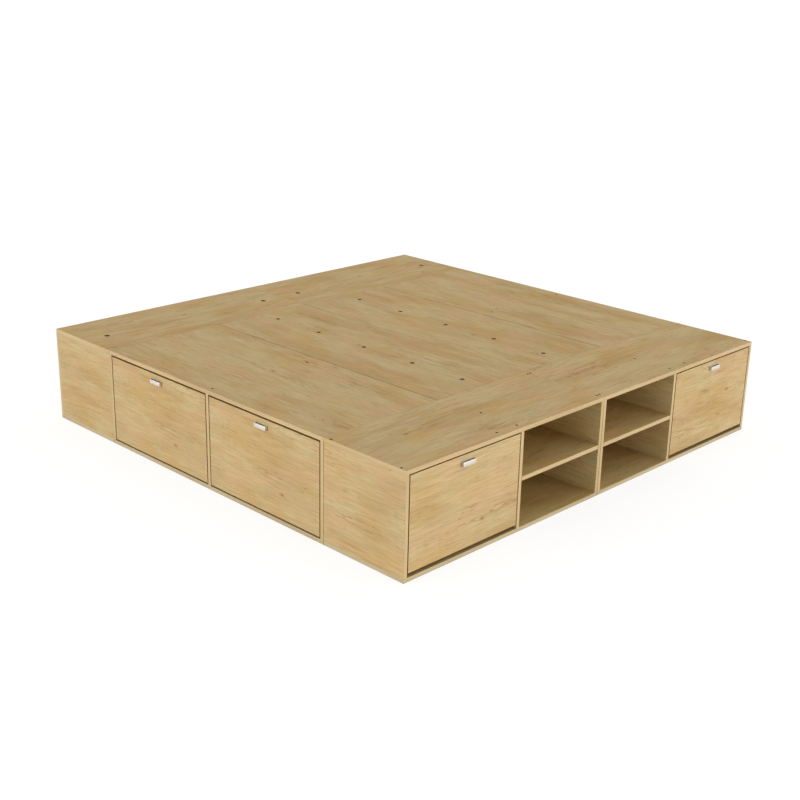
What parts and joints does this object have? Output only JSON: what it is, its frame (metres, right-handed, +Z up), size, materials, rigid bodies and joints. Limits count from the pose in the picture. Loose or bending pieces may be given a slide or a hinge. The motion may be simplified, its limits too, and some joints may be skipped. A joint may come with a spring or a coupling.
{
  "type": "tatami platform bed",
  "caption": "Low square platform bed of oak-faced box modules: drawers and open niches on the sides, lift-off lids on the rear chests and vented panels over a hollow centre.",
  "frame": {"origin": "centre of the bounding box on the floor, pulls included", "axes": "+Z up, the front with the niches faces -Y, +X to the right as seen from the front"},
  "size_m": [2.0176, 1.9918, 0.381],
  "materials": {
    "oak_top": "oak-print melamine, matt, slightly olive in the light from above",
    "oak_front": "oak-print melamine with soft cathedral grain, matt",
    "oak_board": "oak-print melamine with lighter edge banding, matt",
    "oak_hardboard": "thin oak-print hardboard, matt",
    "pull_aluminium": "bright satin anodised",
    "zinc_steel": "zinc-plated",
    "dark_steel": "dark zinc-plated"
  },
  "bodies": {
    "carcass": {"front_left_top": "oak_top", "front_right_top": "oak_top", "front_bottoms": "oak_board", "front_outer_sides": "oak_board", "front_inner_sides": "oak_board", "front_dividers": "oak_board", "front_shelves": "oak_board", "front_backs": "oak_hardboard", "left_top": "oak_top", "right_top": "oak_top", "side_bottoms": "oak_board", "side_end_boards": "oak_board", "side_dividers": "oak_board", "side_backs": "oak_board", "rear_bottoms": "oak_board", "rear_end_boards": "oak_board", "rear_back_boards": "oak_board", "rear_front_boards": "oak_board", "centre_beam": "oak_board", "centre_ledgers": "oak_board", "cabinet_rails": "zinc_steel", "carcass_screws": "dark_steel", "shelf_pins": "zinc_steel", "joining_bolts": "zinc_steel"},
    "left_chest_lid": {"rear_left_lid": "oak_top", "rear_left_lid_cleats": "oak_board"},
    "right_chest_lid": {"rear_right_lid": "oak_top", "rear_right_lid_cleats": "oak_board"},
    "left_panel": {"centre_left_panel": "oak_top"},
    "right_panel": {"centre_right_panel": "oak_top"},
    "front_left_drawer": {"front_left_drawer_front": "oak_front", "front_left_drawer_box": "oak_board", "front_left_pull": "pull_aluminium", "front_left_drawer_rails": "zinc_steel"},
    "front_right_drawer": {"front_right_drawer_front": "oak_front", "front_right_drawer_box": "oak_board", "front_right_pull": "pull_aluminium", "front_right_drawer_rails": "zinc_steel"},
    "left_front_drawer": {"left_front_drawer_front": "oak_front", "left_front_drawer_box": "oak_board", "left_front_pull": "pull_aluminium", "left_front_drawer_rails": "zinc_steel"},
    "left_rear_drawer": {"left_rear_drawer_front": "oak_front", "left_rear_drawer_box": "oak_board", "left_rear_pull": "pull_aluminium", "left_rear_drawer_rails": "zinc_steel"},
    "right_front_drawer": {"right_front_drawer_front": "oak_front", "right_front_drawer_box": "oak_board", "right_front_pull": "pull_aluminium", "right_front_drawer_rails": "zinc_steel"},
    "right_rear_drawer": {"right_rear_drawer_front": "oak_front", "right_rear_drawer_box": "oak_board", "right_rear_pull": "pull_aluminium", "right_rear_drawer_rails": "zinc_steel"},
    "front_left_slide_middles": {"front_left_middle_rails": "zinc_steel"},
    "front_right_slide_middles": {"front_right_middle_rails": "zinc_steel"},
    "left_front_slide_middles": {"left_front_middle_rails": "zinc_steel"},
    "left_rear_slide_middles": {"left_rear_middle_rails": "zinc_steel"},
    "right_front_slide_middles": {"right_front_middle_rails": "zinc_steel"},
    "right_rear_slide_middles": {"right_rear_middle_rails": "zinc_steel"}
  },
  "joints": [
    {"name": "left_chest_lid_lift", "type": "slide", "parent": "carcass", "child": "left_chest_lid", "axis": [0, 0, 1], "range_m": [0, 0.3]},
    {"name": "right_chest_lid_lift", "type": "slide", "parent": "carcass", "child": "right_chest_lid", "axis": [0, 0, 1], "range_m": [0, 0.3]},
    {"name": "left_panel_lift", "type": "slide", "parent": "carcass", "child": "left_panel", "axis": [0, 0, 1], "range_m": [0, 0.3]},
    {"name": "right_panel_lift", "type": "slide", "parent": "carcass", "child": "right_panel", "axis": [0, 0, 1], "range_m": [0, 0.3]},
    {"name": "front_left_drawer_slide", "type": "slide", "parent": "carcass", "child": "front_left_drawer", "axis": [0, -1, 0], "range_m": [0, 0.35]},
    {"name": "front_right_drawer_slide", "type": "slide", "parent": "carcass", "child": "front_right_drawer", "axis": [0, -1, 0], "range_m": [0, 0.35]},
    {"name": "left_front_drawer_slide", "type": "slide", "parent": "carcass", "child": "left_front_drawer", "axis": [-1, 0, 0], "range_m": [0, 0.45]},
    {"name": "left_rear_drawer_slide", "type": "slide", "parent": "carcass", "child": "left_rear_drawer", "axis": [-1, 0, 0], "range_m": [0, 0.45]},
    {"name": "right_front_drawer_slide", "type": "slide", "parent": "carcass", "child": "right_front_drawer", "axis": [1, 0, 0], "range_m": [0, 0.45]},
    {"name": "right_rear_drawer_slide", "type": "slide", "parent": "carcass", "child": "right_rear_drawer", "axis": [1, 0, 0], "range_m": [0, 0.45]},
    {"name": "front_left_middle_slide", "type": "slide", "parent": "carcass", "child": "front_left_slide_middles", "axis": [0, -1, 0], "range_m": [0, 0.175]},
    {"name": "front_right_middle_slide", "type": "slide", "parent": "carcass", "child": "front_right_slide_middles", "axis": [0, -1, 0], "range_m": [0, 0.175]},
    {"name": "left_front_middle_slide", "type": "slide", "parent": "carcass", "child": "left_front_slide_middles", "axis": [-1, 0, 0], "range_m": [0, 0.225]},
    {"name": "left_rear_middle_slide", "type": "slide", "parent": "carcass", "child": "left_rear_slide_middles", "axis": [-1, 0, 0], "range_m": [0, 0.225]},
    {"name": "right_front_middle_slide", "type": "slide", "parent": "carcass", "child": "right_front_slide_middles", "axis": [1, 0, 0], "range_m": [0, 0.225]},
    {"name": "right_rear_middle_slide", "type": "slide", "parent": "carcass", "child": "right_rear_slide_middles", "axis": [1, 0, 0], "range_m": [0, 0.225]}
  ],
  "couplings": [
    {"joint": "front_left_middle_slide", "follows": "front_left_drawer_slide", "ratio": 0.5},
    {"joint": "front_right_middle_slide", "follows": "front_right_drawer_slide", "ratio": 0.5},
    {"joint": "left_front_middle_slide", "follows": "left_front_drawer_slide", "ratio": 0.5},
    {"joint": "left_rear_middle_slide", "follows": "left_rear_drawer_slide", "ratio": 0.5},
    {"joint": "right_front_middle_slide", "follows": "right_front_drawer_slide", "ratio": 0.5},
    {"joint": "right_rear_middle_slide", "follows": "right_rear_drawer_slide", "ratio": 0.5}
  ]
}
